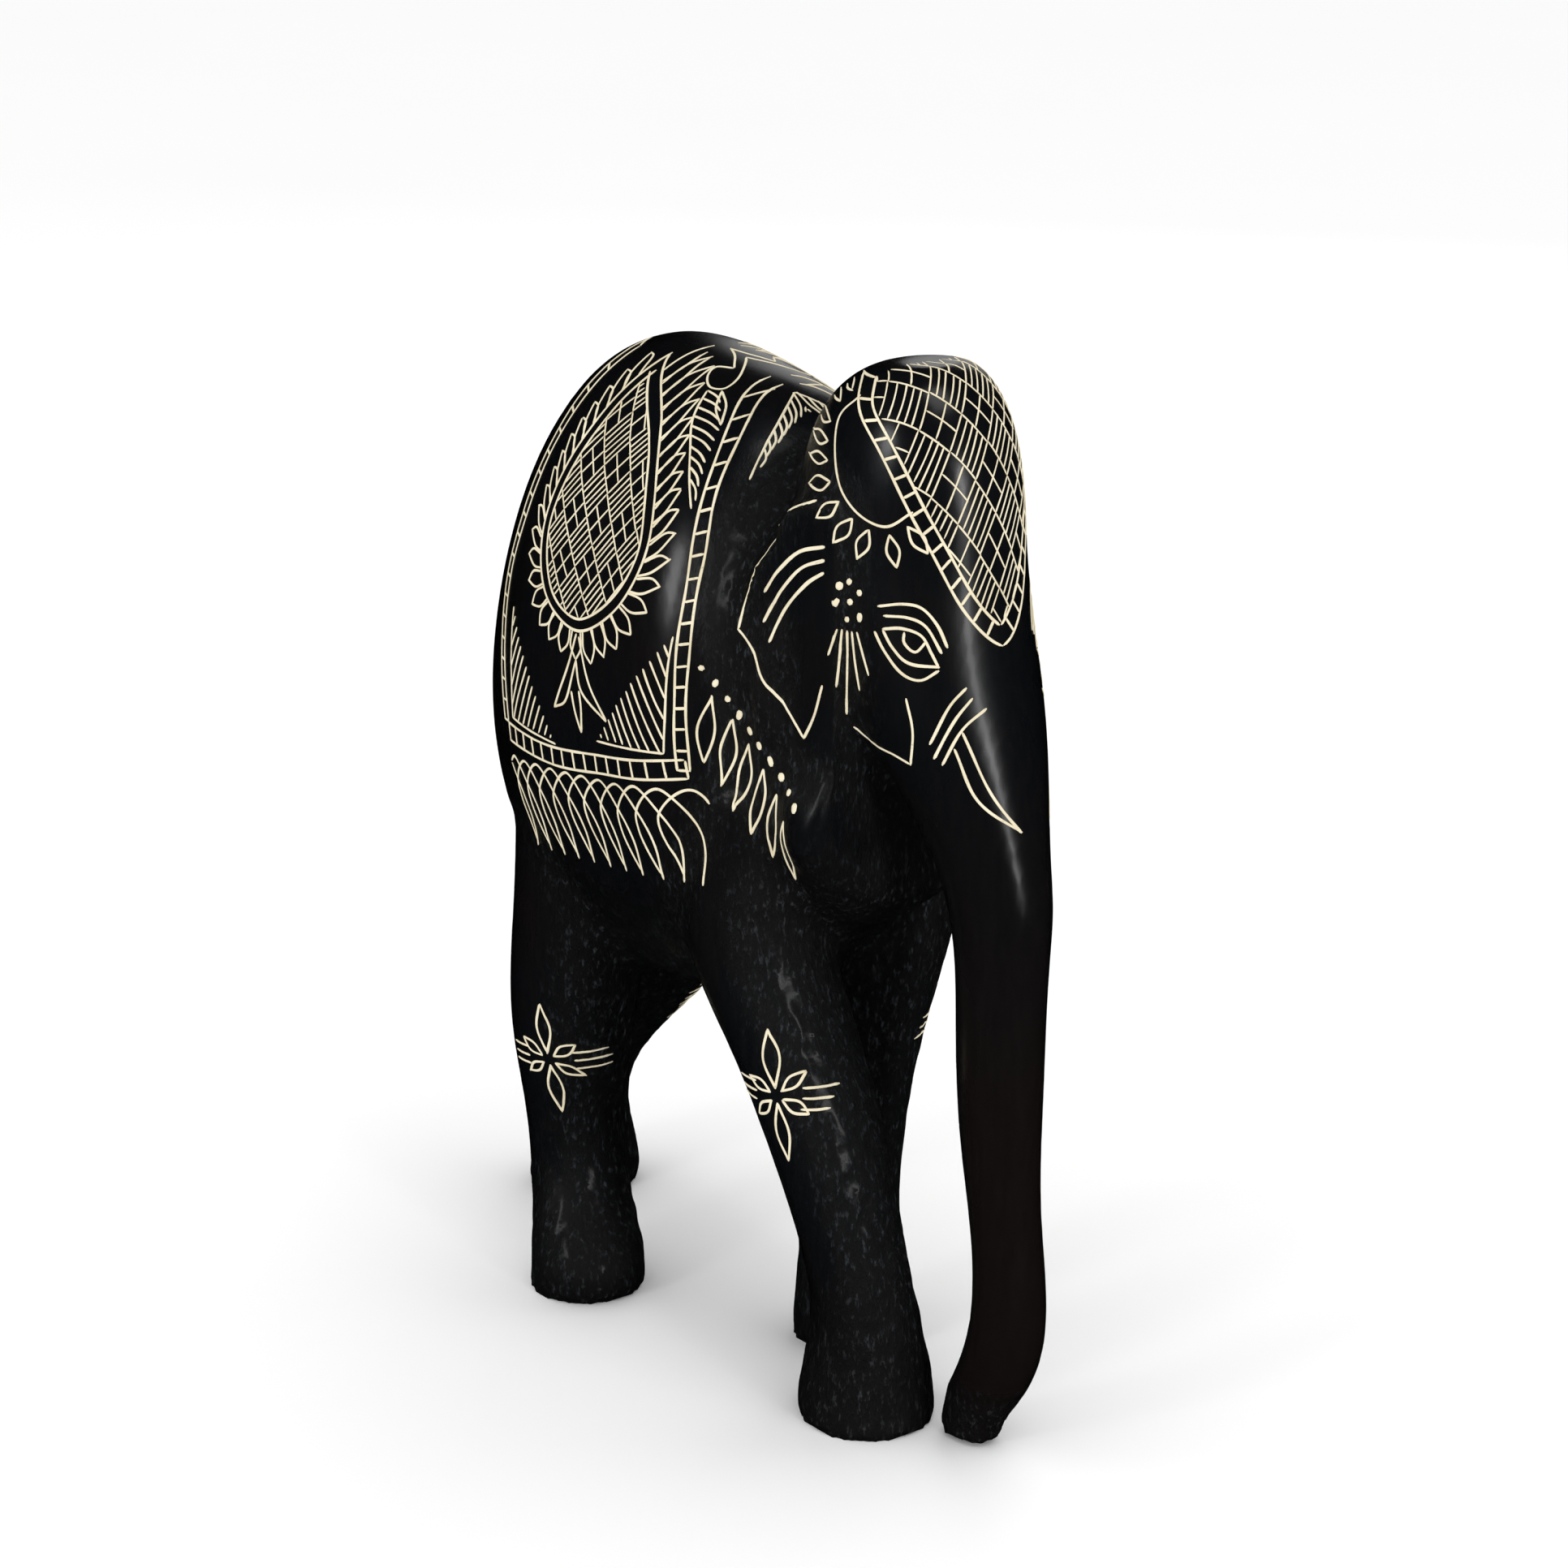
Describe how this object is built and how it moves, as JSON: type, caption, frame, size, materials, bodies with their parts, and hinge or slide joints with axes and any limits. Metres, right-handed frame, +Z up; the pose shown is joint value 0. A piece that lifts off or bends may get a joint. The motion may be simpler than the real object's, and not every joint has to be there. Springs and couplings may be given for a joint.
{
  "type": "carved wooden elephant figurine",
  "caption": "Walking elephant figurine carved from one block of dark polished wood, trunk hanging to the ground, with fine pale line work: blanket, drop motif, cap, flowers and necklace",
  "frame": {"origin": "on the ground under the middle of the bounding box", "axes": "+X towards the head, +Y towards the elephant's left side, +Z up"},
  "size_m": [0.1802, 0.0768, 0.208],
  "materials": {
    "dark_wood": "near-black polished wood, satin sheen, unpolished flecked hollows",
    "pale_line": "pale cream filler in engraved lines"
  },
  "bodies": {
    "root": {"blanket_front_border_left": "pale_line", "blanket_front_border_right": "pale_line", "blanket_lower_border_left": "pale_line", "blanket_lower_border_right": "pale_line", "blanket_rear_border_left": "pale_line", "blanket_rear_border_right": "pale_line", "cap_border_left": "pale_line", "cap_border_right": "pale_line", "cap_lattice": "pale_line", "carved_body": "dark_wood", "corner_triangles_left": "pale_line", "corner_triangles_right": "pale_line", "drop_motif_left": "pale_line", "drop_motif_right": "pale_line", "ear_line_left": "pale_line", "ear_line_right": "pale_line", "eye_left": "pale_line", "eye_right": "pale_line", "fringe_left": "pale_line", "fringe_right": "pale_line", "front_left_leg_flower": "pale_line", "front_right_leg_flower": "pale_line", "neck_feather_left": "pale_line", "neck_feather_right": "pale_line", "necklace_left": "pale_line", "necklace_right": "pale_line", "rear_left_leg_flower": "pale_line", "rear_right_leg_flower": "pale_line", "rump_tassels_left": "pale_line", "rump_tassels_right": "pale_line", "shoulder_feather_left": "pale_line", "shoulder_feather_right": "pale_line", "temple_arc_left": "pale_line", "temple_arc_right": "pale_line", "tusk_left": "pale_line", "tusk_right": "pale_line"}
  },
  "joints": []
}
